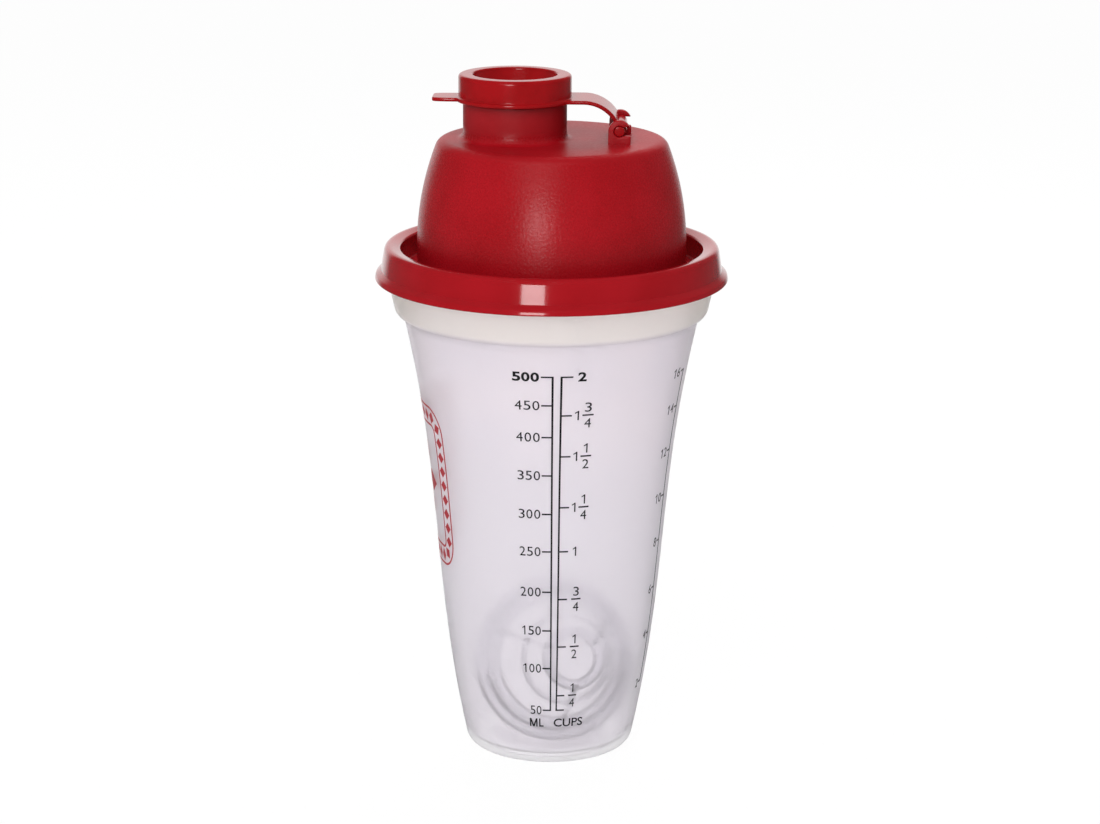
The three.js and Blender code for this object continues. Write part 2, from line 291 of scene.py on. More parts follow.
# frosted plastic: milky and clear shares in faint clouds, cooler low down, a warmer band at the top,
# and a fine grain
def frostedFinish():
    f = Finish("frosted cup")
    place = f.place()
    z = f.parts(place)[2]
    cloud = f.noise(place, frostLook["cloud"], detail=1.0).step(*frostLook["cloudSpread"])
    grain = f.noise(place, frostLook["grain"])
    band = z.step(shoulderHeight * mm, (shoulderHeight + cup["stepRise"]) * mm)
    low = z.step(*(shoulderHeight * share * mm for share in frostLook["lowFade"]))
    body = f.mix(low, f.mix(cloud, frostLook["dense"], frostLook["clear"]), frostLook["low"])
    rough = frostLook["roughness"] + grain.swing(frostLook["grainShare"])
    return f.plastic(
        f.mix(band, body, frostLook["ivory"]), rough + cloud.swing(frostLook["cloudShare"]),
        **{"Normal": f.bump(grain, frostLook["bump"], frostLook["grainDepth"]),
           "Transmission Weight": frostLook["transmission"], "IOR": frostLook["ior"]})


lidLook = {
    "red": screenColor(158, 16, 26), "dark": screenColor(150, 12, 21), "specular": 0.22,
    "glossy": 0.12, "matte": 0.27, "flat": 0.38, "spout": 0.56, "domeFade": (0.2, -0.6),
    "neckFade": (1.2, 0.4), "cloud": 18, "cloudSpread": (0.3, 0.7),
    "grain": 0.78, "grainRoughness": 0.6, "grainShare": 0.14, "grainDepth": 0.08, "grainBump": 1.0,
    "grainRest": 0.1, "coatRim": 0.48, "coatSpout": 0.03, "coatRoughness": 0.05,
}


# lid red: a polished rim, leather-fine matte grain on the dome and the spout's foot, a smoother spout
# with hardly any grain, and a rougher moat and top
def lidFinish():
    f = Finish("lid red")
    place = f.place()
    x, y, z = f.parts(place)
    fromSpout = away(x - spout["offset"] * mm, y)
    dome = away(x, y).step(*((plugInner + edge) * mm for edge in lidLook["domeFade"]))
    neck = fromSpout.step(*((spout["radius"] + edge) * mm for edge in lidLook["neckFade"]))
    neck = neck * z.step((domeTop + spout["fillet"]) * mm, (domeTop + 2 * spout["fillet"]) * mm)
    cloud = f.noise(place, lidLook["cloud"])
    grain = f.noise(place, lidLook["grain"], roughness=lidLook["grainRoughness"])
    matte = dome * (1 - neck)
    flat = z.step((domeTop - domeShape["edgeDrop"]) * mm, domeTop * mm) * fromSpout.step(
        spout["radius"] * mm, (spout["radius"] + spout["fillet"]) * mm)
    flat = flat + dome * z.step(beadTop * mm, (moatFloor + rim["moatCorner"]) * mm)
    rough = lidLook["glossy"] + dome * (lidLook["matte"] - lidLook["glossy"])
    rough = rough + flat * (lidLook["flat"] - lidLook["matte"])
    rough = rough + neck * (lidLook["spout"] - lidLook["matte"])
    relief = grain * (lidLook["grainRest"] + (1 - lidLook["grainRest"]) * matte)
    return f.plastic(
        f.mix(cloud.step(*lidLook["cloudSpread"]), lidLook["dark"], lidLook["red"]),
        rough + matte * grain.swing(lidLook["grainShare"]),
        **{"Normal": f.bump(relief, lidLook["grainBump"], lidLook["grainDepth"]),
           "Coat Weight": (1 - dome) * lidLook["coatRim"] + neck * lidLook["coatSpout"],
           "Coat Roughness": lidLook["coatRoughness"], "Specular IOR Level": lidLook["specular"]})


capLook = {
    "red": screenColor(152, 12, 18), "dark": screenColor(144, 9, 14), "glossy": 0.14, "specular": 0.34,
    "ripple": 6, "rippleSpread": (0.3, 0.7), "rippleDepth": 0.02, "rippleBump": 0.3,
    "speck": 0.5, "speckShare": 0.08,
}


# cap red: polished, with the slow ripple of a moulded skin
def capFinish():
    f = Finish("cap red")
    place = f.place()
    ripple = f.noise(place, capLook["ripple"], detail=1.0)
    speck = f.noise(place, capLook["speck"])
    return f.plastic(
        f.mix(ripple.step(*capLook["rippleSpread"]), capLook["dark"], capLook["red"]),
        capLook["glossy"] + speck.swing(capLook["speckShare"]),
        **{"Normal": f.bump(ripple, capLook["rippleBump"], capLook["rippleDepth"]),
           "Specular IOR Level": capLook["specular"]})


# how wide the painted shade, in the dark edge colour, runs along each ring's outer and inner edge, and how
# it fades from the lower half to the top
wheelLook = {
    "milk": screenColor(245, 244, 247), "shade": screenColor(239, 238, 242),
    "edge": screenColor(36, 33, 42), "edgeShadeWides": ((1.3, 0.2), (0.6, 1.1), (0.3, 0.2), (1.2, 0.9)),
    "edgeShadeLow": -10, "edgeShadeHigh": 4, "edgeShadeTop": 0.06, "roughness": 0.16, "transmission": 0.84, "ior": 1.35,
    "cloud": 9, "cloudSpread": (0.3, 0.7), "cloudShare": 0.08,
    "grain": 0.8, "grainDepth": 0.05, "bump": 0.08,
}


# natural plastic of the mixing wheel: pale and see-through, a little clouded, with painted shade along its
# rings' edges, darkest in its lower half as if lit from above
def wheelFinish():
    f = Finish("wheel natural")
    place = f.place()
    cloud = f.noise(place, wheelLook["cloud"])
    grain = f.noise(place, wheelLook["grain"])
    turn = (math.radians(90 + wheel["lean"]), 0, math.radians(wheel["azimuth"]))
    x, y = f.parts(f.node("ShaderNodeMapping", {"vector_type": "TEXTURE"}, {
        "Vector": place, "Location": tuple(wheelPlace() * mm), "Rotation": turn}))[:2]
    reach = away(x, y)
    # painted shade: a band of the dark edge colour along each ring's outer and inner edge
    edge = 0
    for ring, wides in zip(wheelRings(), wheelLook["edgeShadeWides"]):
        outer, width = ring[:2]
        for radius, wide in zip((outer, outer - width), wides):
            edge = edge + reach.apart(radius * mm).step(wide * mm, 0)
    # the painted shade is full in the wheel's lower half, as if lit from above, and keeps a small share at
    # the top
    low = y.step(wheelLook["edgeShadeHigh"] * mm, wheelLook["edgeShadeLow"] * mm)
    edge = edge.math("MINIMUM", edge, 1) * (wheelLook["edgeShadeTop"] + low * (1 - wheelLook["edgeShadeTop"]))
    milky = f.mix(cloud.step(*wheelLook["cloudSpread"]), wheelLook["shade"], wheelLook["milk"])
    return f.plastic(
        f.mix(edge, milky, wheelLook["edge"]),
        wheelLook["roughness"] + cloud.swing(wheelLook["cloudShare"]),
        **{"Normal": f.bump(grain, wheelLook["bump"], wheelLook["grainDepth"]),
           "Transmission Weight": wheelLook["transmission"], "IOR": wheelLook["ior"]})


inkLook = {
    "black": screenColor(12, 12, 15), "grey": screenColor(34, 34, 39), "red": screenColor(176, 34, 44),
    "pale": screenColor(196, 70, 76), "roughness": 0.5, "wear": 1.4, "wearDetail": 3.0,
    "wearRoughness": 0.7, "wearSpread": (0.5, 0.8), "wearShare": 0.15,
}


# printed ink: slightly uneven cover
def inkFinish(name, full, thin):
    f = Finish(name)
    wear = f.noise(f.place(), inkLook["wear"], inkLook["wearDetail"], inkLook["wearRoughness"])
    wear = wear.step(*inkLook["wearSpread"])
    return f.plastic(f.mix(wear, full, thin), inkLook["roughness"] + wear * inkLook["wearShare"])


# Cup

cup = {
    "rimHeight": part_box("cup")[1].z / mm, "rimRadius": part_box("cup")[1].x / mm, "wall": 1.8,
    "floor": 2.6, "floorCorner": 4.0, "footRadius": 24.2, "footWidth": 6.5, "footRound": 0.5,
    "footRecess": 1.0, "recessRound": 0.6, "baseRadius": 27.1, "baseCorner": 3.0, "bandHeight": 20.2,
    "shoulderRadius": 46.7, "stepRise": 2.2, "stepReach": 2.8, "stepRound": 0.7, "bandFlare": 7.0,
    "leanLow": 0.21, "leanHigh": 0.23, "handle": 55.0, "poleRadius": 4.0, "columns": 192,
    "bandRow": 1.5, "longestRow": 3.0,
}
shoulderHeight = cup["rimHeight"] - cup["bandHeight"]


# cubic curve from the base corner to the shoulder, leaning out at both ends
def cupWallPath(inset, steps=64):
    low = np.array([cup["baseRadius"] - inset, cup["baseCorner"]])
    high = np.array([cup["shoulderRadius"] - inset, shoulderHeight])
    lowHandle = low + cup["handle"] * np.array([cup["leanLow"], 1])
    highHandle = high - cup["handle"] * np.array([cup["leanHigh"], 1])
    t = np.linspace(0, 1, steps)[:, None]
    return ((1 - t) ** 3 * low + 3 * t * (1 - t) ** 2 * lowHandle
            + 3 * t ** 2 * (1 - t) * highHandle + t ** 3 * high)


# the rounded step out of the shoulder, then the band up to its flare
def cupBandPath(inset):
    low = np.array([cup["shoulderRadius"] - inset, shoulderHeight])
    high = low + [cup["stepReach"], cup["stepRise"]]
    step = bend(low, [high[0] - cup["stepRound"], low[1]], high, steps=14)
    flare = [cup["rimRadius"] - inset, high[1] + cup["bandFlare"]]
    return np.vstack([step, fillIn(np.vstack([high, flare]), cup["bandRow"])[1:]])


cupOutside = np.vstack([cupWallPath(0), cupBandPath(0)[1:]])


def cupRadiusAt(height):
    return np.interp(height, cupOutside[:, 1], cupOutside[:, 0])


# the cup's section, from the foot's middle up the outside, over the mouth and down the inside to the
# floor's middle, turned round the upright axis
def makeCup(material):
    mouthRadius, top, wall = cup["rimRadius"], cup["rimHeight"], cup["wall"]
    recessEdge = cup["footRadius"] - cup["footWidth"]
    foot = softCorners([
        (cup["poleRadius"], cup["footRecess"], 0),
        (recessEdge - cup["footRecess"], cup["footRecess"], cup["recessRound"]),
        (recessEdge, 0, cup["footRound"]), (cup["footRadius"], 0, 0)])
    base = bend((cup["footRadius"], 0), (cup["baseRadius"] - cup["leanLow"] * cup["baseCorner"], 0),
                (cup["baseRadius"], cup["baseCorner"]), steps=14)
    mouth = softCorners([
        (mouthRadius, top - wall * 2, 0), (mouthRadius, top, wall / 2),
        (mouthRadius - wall, top, wall / 2), (mouthRadius - wall, top - wall * 2, 0)])
    inside = np.vstack([cupWallPath(wall), cupBandPath(wall)[1:]])[::-1]
    inside = inside[inside[:, 1] > cup["floor"] + cup["floorCorner"]]
    floor = bend(inside[-1], (cup["baseRadius"] - wall, cup["floor"]),
                 (cup["footRadius"] - wall, cup["floor"]), steps=14)
    pole = np.array([[cup["poleRadius"], cup["floor"]]])
    path = np.vstack([foot, base[1:], cupOutside[1:], mouth, inside, floor[1:], pole])
    grid = turned(aroundAxis(fillIn(path, cup["longestRow"])), fullTurn(cup["columns"]))
    shell = addPiece("frosted_cup", [closedGrid(grid)], material, "cup")
    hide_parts("cup")


# Lid

rim = {
    "wall": 1.5, "clearance": 0.35, "lipDepth": 10.7, "lipReach": 2.75, "lipFlare": 5.5, "lipEdge": 1.3,
    "lipDraft": 0.4, "lipShoulder": 1.6, "lipSoft": 0.45, "lipRise": 3.0, "beadLean": 0.65,
    "beadCrown": 0.25, "beadDrop": 0.9, "beadBulge": 0.12, "bulgeRound": 1.8, "footRound": 0.15,
    "roundOuter": 2.2, "roundInner": 0.7, "channelRound": 0.3, "moatDepth": 8.0, "moatCorner": 1.0,
    "hollowRound": 0.5, "seat": 0.3, "columns": 192, "longestRow": 2.5,
}
domeShape = {
    "radius": 42.2, "rise": 33.4, "edgeRadius": 36.4, "edgeDrop": 2.4, "flatRadius": 32.6, "topWall": 1.6,
}
spout = {
    "offset": -11.6, "radius": 16.15, "height": 11.5, "fillet": 2.4, "footFlat": 0.2, "neckRadius": 15.3,
    "neckHeight": 2.7, "neckWall": 1.4, "neckRound": 0.2, "edge": 0.4, "boreDip": 0.01,
}

skirtInner = cup["rimRadius"] + rim["clearance"]
skirtOuter = skirtInner + rim["wall"]
plugOuter = cup["rimRadius"] - cup["wall"] - rim["clearance"]
plugInner = plugOuter - rim["wall"]
channelTop = cup["rimHeight"] + rim["seat"]
beadTop = channelTop + rim["wall"]
moatFloor = beadTop - rim["moatDepth"]
lipBottom = beadTop - rim["lipDepth"]
lipRadius = skirtOuter + rim["lipReach"]
beadFoot = lipBottom + rim["lipRise"]
domeTop = beadTop + domeShape["rise"]
spoutShoulder = domeTop + spout["height"]
spoutRim = spoutShoulder + spout["neckHeight"]
boreRadius = spout["neckRadius"] - spout["neckWall"]


# the dome's side, upright at the bead and drawn in towards its top edge
def domeSide(inset, edgeHeight):
    low = np.array([domeShape["radius"] - inset, beadTop])
    high = np.array([domeShape["edgeRadius"] - inset, edgeHeight])
    return bend(low, [low[0], (low[1] + high[1]) / 2], high, steps=28)


# the lid's section as a loop, turned: up the bore and over the spout round the spout's axis, then over
# the dome, the moat, the bead and the lip, and back under them round the bottle's
def makeLid(material):
    edgeHeight = domeTop - domeShape["edgeDrop"]
    lean = (domeShape["radius"] - domeShape["edgeRadius"]) / ((edgeHeight - beadTop) / 2)
    edgeCorner = (domeShape["edgeRadius"] - lean * domeShape["edgeDrop"], domeTop)
    ceiling = domeTop - domeShape["topWall"]
    spoutWall = softCorners([
        (boreRadius, ceiling - spout["boreDip"], 0), (boreRadius, spoutRim, spout["edge"]),
        (spout["neckRadius"], spoutRim, spout["edge"]),
        (spout["neckRadius"], spoutShoulder, spout["neckRound"]),
        (spout["radius"], spoutShoulder, spout["edge"]), (spout["radius"], domeTop, spout["fillet"]),
        (spout["radius"] + spout["fillet"] + spout["footFlat"], domeTop, 0)])
    top = bend((domeShape["flatRadius"], domeTop), edgeCorner, (domeShape["edgeRadius"], edgeHeight),
               steps=14)
    side = domeSide(0, edgeHeight)[::-1]
    moat = softCorners([
        (domeShape["radius"], beadTop, 0), (domeShape["radius"], moatFloor, rim["moatCorner"]),
        (plugInner, moatFloor, rim["moatCorner"]),
        (plugInner, beadTop - rim["beadDrop"], rim["roundInner"]),
        (skirtOuter - rim["beadLean"], beadTop + rim["beadCrown"], rim["roundOuter"]),
        (skirtOuter + rim["beadBulge"], (beadFoot + beadTop) / 2, rim["bulgeRound"]),
        (skirtOuter + rim["beadLean"], beadFoot, rim["footRound"]),
        (lipRadius - rim["lipDraft"], lipBottom + rim["lipShoulder"], rim["lipSoft"]),
        (lipRadius, lipBottom, rim["lipEdge"] / 2), (lipRadius - rim["lipEdge"], lipBottom, 0)], steps=12)
    lip = bend((lipRadius - rim["lipEdge"], lipBottom), (skirtInner, lipBottom + rim["lipEdge"]),
               (skirtInner, lipBottom + rim["lipFlare"]), steps=10)
    under = softCorners([
        (skirtInner, lipBottom + rim["lipFlare"], 0), (skirtInner, channelTop, rim["channelRound"]),
        (plugOuter, channelTop, rim["channelRound"]),
        (plugOuter, moatFloor - rim["wall"], rim["moatCorner"]),
        (domeShape["radius"] - rim["wall"], moatFloor - rim["wall"], rim["hollowRound"]),
        (domeShape["radius"] - rim["wall"], beadTop, 0)])
    hollow = np.vstack([domeSide(rim["wall"], edgeHeight - domeShape["topWall"]),
                        [[domeShape["flatRadius"] - domeShape["topWall"], ceiling]]])
    upper = np.vstack([top, side[1:], moat[1:], lip[1:], under[1:], hollow[1:]])
    rows = np.vstack([aroundAxis(spoutWall, spout["offset"]), aroundAxis(upper)])
    grid = turned(fillIn(rows, rim["longestRow"], loop=True), fullTurn(rim["columns"]))
    shell = addPiece("lid_shell", [closedGrid(grid, loop=True)], material, "lid")
    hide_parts("lid")


# Hinge ears, part of the lid, and the sizes of the pin and strap that they carry

hinge = {
    "pinX": 21.0, "pinHeight": 4.0, "pinRadius": 1.6, "clearance": 0.15, "recess": 0.1,
    "barrelRadius": 2.2, "pinRound": 0.25, "pinFillet": 0.1, "poleRadius": 0.3, "earRadius": 3.45,
    "earThickness": 2.2, "sideGap": 0.35, "snap": 0.2, "sink": 0.4, "softEdge": 0.3, "lipRound": 0.5,
    "columns": 48, "earRow": 0.5, "pinRow": 1.5,
}
strap = {"width": 17.2, "bend": 11.6}
pinZ = domeTop + hinge["pinHeight"]
earInner = strap["width"] / 2 + hinge["sideGap"]
earOuter = earInner + hinge["earThickness"]


# a hook's outline: a foot, an eye that is open towards +X and a round crown
def earOutline():
    hole = hinge["pinRadius"] + hinge["clearance"]
    slot = hinge["pinRadius"] - hinge["snap"]
    mouth, tip = math.asin(slot / hole), math.asin(slot / hinge["earRadius"])
    centre, base = (hinge["pinX"], pinZ), domeTop - hinge["sink"]
    left, right = hinge["pinX"] - hinge["earRadius"], hinge["pinX"] + hinge["earRadius"]
    foot = softCorners([
        (left, pinZ, 0), (left, base, 0), (right, base, 0), (right, pinZ - slot, hinge["lipRound"]),
        (hinge["pinX"] + hole * math.cos(mouth), pinZ - slot, 0)], steps=5)
    eye = arc(centre, hole, -mouth, mouth - 2 * math.pi, steps=40)
    crown = arc(centre, hinge["earRadius"], tip, math.pi, steps=40)
    return fillIn(np.vstack([foot[1:-1], eye, crown]), hinge["earRow"], loop=True)


# that outline carried across the ear's thickness, drawn in by a quarter circle at both faces
def makeEars(material):
    outline = earOutline()
    normals, soft = outlineNormals(outline), hinge["softEdge"]
    quarter = np.linspace(0, np.pi / 2, 5)
    rise, fall = soft * (1 - np.cos(quarter)), soft * (1 - np.sin(quarter))
    inset = np.concatenate([fall, rise])
    depth = np.concatenate([rise, hinge["earThickness"] - fall])
    flat = outline[None] - normals[None] * inset[:, None, None]
    for name, side in (("hinge_ear_front", -1), ("hinge_ear_back", 1)):
        across = np.broadcast_to((side * (earInner + depth))[:, None], flat.shape[:2])
        grid = np.stack([flat[..., 0], across, flat[..., 1]], -1)
        addPiece(name, [closedGrid(grid)], material, "lid")


# Flip cap: ring, flange, tab and strap in one skin, with the hinge pin at the strap's end

cap = {
    "clearance": 0.9, "wall": 1.4, "height": 8.2, "crestOuter": 1.2, "crestInner": 0.6,
    "flangeReach": 0.9, "flangeThickness": 1.2, "flangeFillet": 0.45, "flangeFlat": 0.02,
    "flangeSoft": 0.3, "flangeSquareness": 0.5, "wellRadius": 13.0, "wellDepth": 5.2, "wellDraft": 1.7,
    "wellRound": 1.2, "wellLip": 0.8, "wellFlare": 0.08, "skirtFlat": 0.4, "skirtRound": 0.3,
    "crownRound": 1.0, "hollowTop": 0.3, "hollowFloor": 0.5, "tabLength": 25.6, "tabWidth": 10.5,
    "tabSquareness": 10, "strapSquareness": 24, "jointSoftness": 60, "poleRadius": 3.0,
    "columns": 360, "samples": 6000, "strapRows": 40, "edgeRows": 9, "longestRow": 1.0,
}
skirtIn = spout["neckRadius"] + cap["clearance"]
skirtOut = skirtIn + cap["wall"]
flangeBottom = spoutShoulder + rim["seat"]
flangeTop = flangeBottom + cap["flangeThickness"]
flangeRadius = skirtOut + cap["flangeReach"]
capCrest = flangeBottom + cap["height"]
wellFloor = capCrest - cap["wellDepth"]
strapZ = flangeBottom + cap["flangeThickness"] / 2
bendZ = strapZ - strap["bend"]
bendEnd = math.asin((pinZ - bendZ) / strap["bend"])
bendX = hinge["pinX"] - strap["bend"] * math.cos(bendEnd)
strapReach = bendX + strap["bend"] * (math.pi / 2 - bendEnd) - spout["offset"]


# how far a squarish tongue reaches in a direction: along over its length and across over half its
# width, each to a power, summed and rooted; nothing behind it
def tongueReach(along, across, length, width, power):
    ahead = np.maximum(along, 1e-6) / length
    return (ahead ** power + (across / (width / 2)) ** power) ** (-1 / power) * (along > 0)


# the flange's outline: a soft union of its circle, the tab and the strap by angle, spaced evenly
def flangeOutline():
    turn = np.linspace(0, 2 * np.pi, cap["samples"])
    along, across, joint = np.cos(turn), np.abs(np.sin(turn)), cap["jointSoftness"]
    tab = tongueReach(-along, across, cap["tabLength"], cap["tabWidth"], cap["tabSquareness"])
    level = tongueReach(along, across, strapReach, strap["width"], cap["strapSquareness"])
    shares = np.stack([np.full_like(turn, flangeRadius), tab, level]) / flangeRadius
    radius = flangeRadius * (shares ** joint).sum(0) ** (1 / joint)
    line = np.column_stack([radius * along, radius * np.sin(turn)])
    length = lengthAlong(line)
    even = np.arange(cap["columns"]) / cap["columns"] * length[-1]
    return np.interp(even, length, turn), pickAlong(line, length, even)


# beyond bendX the level strap follows an arc of radius bend down to the pin
def bendStrap(points):
    x, z = points[..., 0], points[..., 2]
    turn = np.maximum(x - bendX, 0) / strap["bend"]
    radius = strap["bend"] + z - strapZ
    bent = x > bendX
    points[..., 0] = np.where(bent, bendX + radius * np.sin(turn), x)
    points[..., 2] = np.where(bent, bendZ + radius * np.cos(turn), z)
    return points


# flat points (x, y) with a height, one for all or one for each row
def atHeight(flat, height):
    return np.dstack([flat, np.broadcast_to(height, flat.shape[:2] + (1,))])


# rows from the well's middle over the crest to the flange, which runs straight out to its outline and
# over a soft edge, and back below it to the middle of the underside
def capGrid():
    turn, outline = flangeOutline()
    normals, soft = outlineNormals(outline), cap["flangeSoft"]
    around = np.column_stack([np.cos(turn), np.sin(turn)])
    well, draft, wall = cap["wellRadius"], cap["wellDraft"], cap["wall"]
    upper = softCorners([
        (cap["poleRadius"], wellFloor, 0), (well - draft, wellFloor, cap["wellRound"]),
        (well, capCrest - cap["wellLip"], cap["wellLip"] / 2),
        (well + cap["wellFlare"], capCrest, cap["crestInner"]), (skirtOut, capCrest, cap["crestOuter"]),
        (skirtOut, flangeTop, cap["flangeFillet"]),
        (skirtOut + cap["flangeFillet"] + cap["flangeFlat"], flangeTop, 0)], steps=12)
    lower = softCorners([
        (skirtIn + cap["skirtFlat"], flangeBottom, 0), (skirtIn, flangeBottom, cap["skirtRound"]),
        (skirtIn, capCrest - wall, cap["crownRound"]), (well + wall, capCrest - wall, cap["hollowTop"]),
        (well - draft + wall, wellFloor - wall, cap["hollowFloor"]),
        (cap["poleRadius"], wellFloor - wall, 0)])
    over, under = (atHeight(path[:, 0, None, None] * around, path[:, 1, None, None])
                   for path in (fillIn(upper, cap["longestRow"]), fillIn(lower, cap["longestRow"])))
    share = np.linspace(0, 1, cap["strapRows"])[1:, None, None]
    edge = outline - normals * soft
    topFlat = over[-1, :, :2] * (1 - share) + edge * share
    bottomFlat = (edge * (1 - share) + under[0, :, :2] * share)[:-1]
    half = np.linspace(0, np.pi, cap["edgeRows"])[1:-1, None, None]
    lipFlat = edge + normals * soft * np.sin(half)
    lipShare = np.sign(np.cos(half)) * np.abs(np.cos(half)) ** cap["flangeSquareness"]
    lipHeight = strapZ + (cap["flangeThickness"] / 2) * lipShare
    grid = np.concatenate([
        over, atHeight(topFlat, flangeTop), atHeight(lipFlat, lipHeight),
        atHeight(edge[None], flangeBottom), atHeight(bottomFlat, flangeBottom), under])
    grid[..., 0] += spout["offset"]
    return bendStrap(grid)


# the pin: barrel between the ears, thinner ends inside them, turned round its own axis along Y
def pinGrid():
    end, half = earOuter - hinge["recess"], strap["width"] / 2
    pole, pin, barrel = hinge["poleRadius"], hinge["pinRadius"], hinge["barrelRadius"]
    soft, fillet = hinge["pinRound"], hinge["pinFillet"]
    path = softCorners([
        (pole, -end, 0), (pin, -end, soft), (pin, -half, fillet), (barrel, -half, soft),
        (barrel, half, soft), (pin, half, fillet), (pin, end, soft), (pole, end, 0)], steps=5)
    path = fillIn(path, hinge["pinRow"])
    angles, radius = fullTurn(hinge["columns"]), path[:, 0, None]
    return np.stack(np.broadcast_arrays(hinge["pinX"] + radius * np.cos(angles), path[:, 1, None],
                                        pinZ + radius * np.sin(angles)), -1)


def makeCap(material):
    skin = addPiece("flip_cap_skin", [closedGrid(capGrid())], material, "cap")
    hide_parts("flip_cap")
    addPiece("hinge_pin", [closedGrid(pinGrid())], material, "cap")


# Mixing wheel: a flat rim, a raised ring beside it, a middle ring and a hub on three blades, dished
# towards the front and stood on edge in the cup

wheel = {
    "radius": 26.4, "thickness": 3.0, "rimWidth": 4.3, "stepLap": 0.9, "stepWidth": 4.1, "stepRise": 2.0,
    "midRadius": 14.0, "midWidth": 1.4, "hubRadius": 10.0, "hubWidth": 3.3, "dish": 20.0, "blades": 3,
    "bladePhase": 0.25, "bladeThickness": 1.3, "azimuth": 20.0, "lean": -19.0, "seatOffset": 5.52,
    "seatHeight": 28.36, "squareness": 5.0, "columns": 144, "ringSteps": 28, "bladeSteps": 24,
    "bladeRows": 12,
}
stepRadius = wheel["radius"] - wheel["rimWidth"] + wheel["stepLap"]
slopeStart = stepRadius - wheel["stepWidth"] / 2
slopeEnd = wheel["hubRadius"] - wheel["hubWidth"] / 2


# how far a ring or blade is pushed along the wheel's axis: a straight slope up to the hub
def dishAt(radius):
    share = (slopeStart - radius) / (slopeStart - slopeEnd)
    return wheel["stepRise"] + (wheel["dish"] - wheel["stepRise"]) * share


# a squarish oval, half width by half height, with the soft corners of a superellipse
def squarishOval(halfWidth, halfHeight, steps):
    turn = fullTurn(steps)
    power = 2 / wheel["squareness"]
    return np.column_stack([halfWidth * np.sign(np.cos(turn)) * np.abs(np.cos(turn)) ** power,
                            halfHeight * np.sign(np.sin(turn)) * np.abs(np.sin(turn)) ** power])


# a ring is that oval carried round the wheel's axis
def wheelRing(outer, width, rise):
    section = squarishOval(width / 2, wheel["thickness"] / 2, wheel["ringSteps"])
    section = section + [outer - width / 2, rise]
    return closedGrid(turned(aroundAxis(section), fullTurn(wheel["columns"])), loop=True)


# a blade is that oval carried straight from the hub to the raised ring, up the dish
def wheelBlade(turn):
    along = np.linspace(slopeEnd, slopeStart, wheel["bladeRows"])[:, None]
    section = squarishOval(wheel["bladeThickness"] / 2, wheel["thickness"] / 2, wheel["bladeSteps"])
    across = section[:, 0]
    points = np.stack(np.broadcast_arrays(along * math.cos(turn) - across * math.sin(turn),
                                          along * math.sin(turn) + across * math.cos(turn),
                                          dishAt(along) + section[:, 1]), -1)
    return closedGrid(points)


# outer radius, width and rise of every ring
def wheelRings():
    middle = wheel["midRadius"] + wheel["midWidth"] / 2
    return [(wheel["radius"], wheel["rimWidth"], 0), (stepRadius, wheel["stepWidth"], wheel["stepRise"]),
            (middle, wheel["midWidth"], dishAt(wheel["midRadius"])),
            (wheel["hubRadius"], wheel["hubWidth"], wheel["dish"])]


# where the middle of the rim is
def wheelPlace():
    return roundBottle(wheel["azimuth"], wheel["seatOffset"], wheel["seatHeight"])


def makeWheel(material):
    solids = [wheelRing(*ring) for ring in wheelRings()]
    solids += [wheelBlade((blade + wheel["bladePhase"]) * 2 * math.pi / wheel["blades"])
               for blade in range(wheel["blades"])]
    stand = np.array(Matrix.Rotation(math.radians(wheel["azimuth"]), 3, "Z")
                     @ Matrix.Rotation(math.radians(90 + wheel["lean"]), 3, "X"))
    placed = [(points @ stand.T + wheelPlace(), faces) for points, faces in solids]
    piece = addPiece("mixing_wheel_rings", placed, material, "wheel")
    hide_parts("mixing_wheel")


# Prints: thin ink on the cup's outside. Across is an angle, so that the print narrows with the cup

ink = {
    "low": -0.02, "high": 0.035, "referenceRadius": 45.4, "digitTall": 3.05, "digitWide": 2.3,
    "boldWide": 2.7, "pitch": 2.93, "bold": 0.03, "wordBold": 0.012, "wordTall": 2.95, "line": 0.66,
    "tickLine": 0.48, "acrossStep": 1.2, "upStep": 1.5, "depth": 0.5, "curveSteps": 4,
}
perMm = math.degrees(1 / ink["referenceRadius"])
halfLine = ink["line"] * perMm / 2
halfTick = ink["tickLine"] / 2

# edges of the strokes of a one and an M, as shares of their boxes
oneStrokes = {
    "stem": (0.5, 0.71), "flagAcross": ((0.12, 0.56), (0.12, 0.62)), "flagUp": ((0.19, 0.34), (0.31, 0.5)),
}
emStrokes = {"left": (0.0, 0.17), "right": (0.83, 1.0), "slant": ((0.02, 0.2), (0.41, 0.59))}


# flat (angle, height, lift) points laid on the cup: the lift goes out from the wall's radius there
def onCup(points, azimuth):
    angle, height, lift = (points[..., k] for k in range(3))
    return roundBottle(azimuth + angle, cupRadiusAt(height) + lift, height)


# a flat grid of (angle, height) made into a closed skin between the ink's low and high lift
def inkPatch(across, up, azimuth):
    flat = np.stack(np.broadcast_arrays(across, up), -1)
    lifted = [atHeight(flat, lift) for lift in (ink["high"], ink["low"])]
    return closedGrid(onCup(np.concatenate([lifted[0], lifted[1][:, ::-1]], axis=1), azimuth))


# a level or upright bar, cut up finely enough to follow the wall
def inkBar(left, right, bottom, top, azimuth):
    across = np.linspace(left, right, 2 + int((right - left) / ink["acrossStep"]))
    up = np.linspace(bottom, top, 2 + int((top - bottom) / ink["upStep"]))
    return inkPatch(across[None], up[:, None], azimuth)


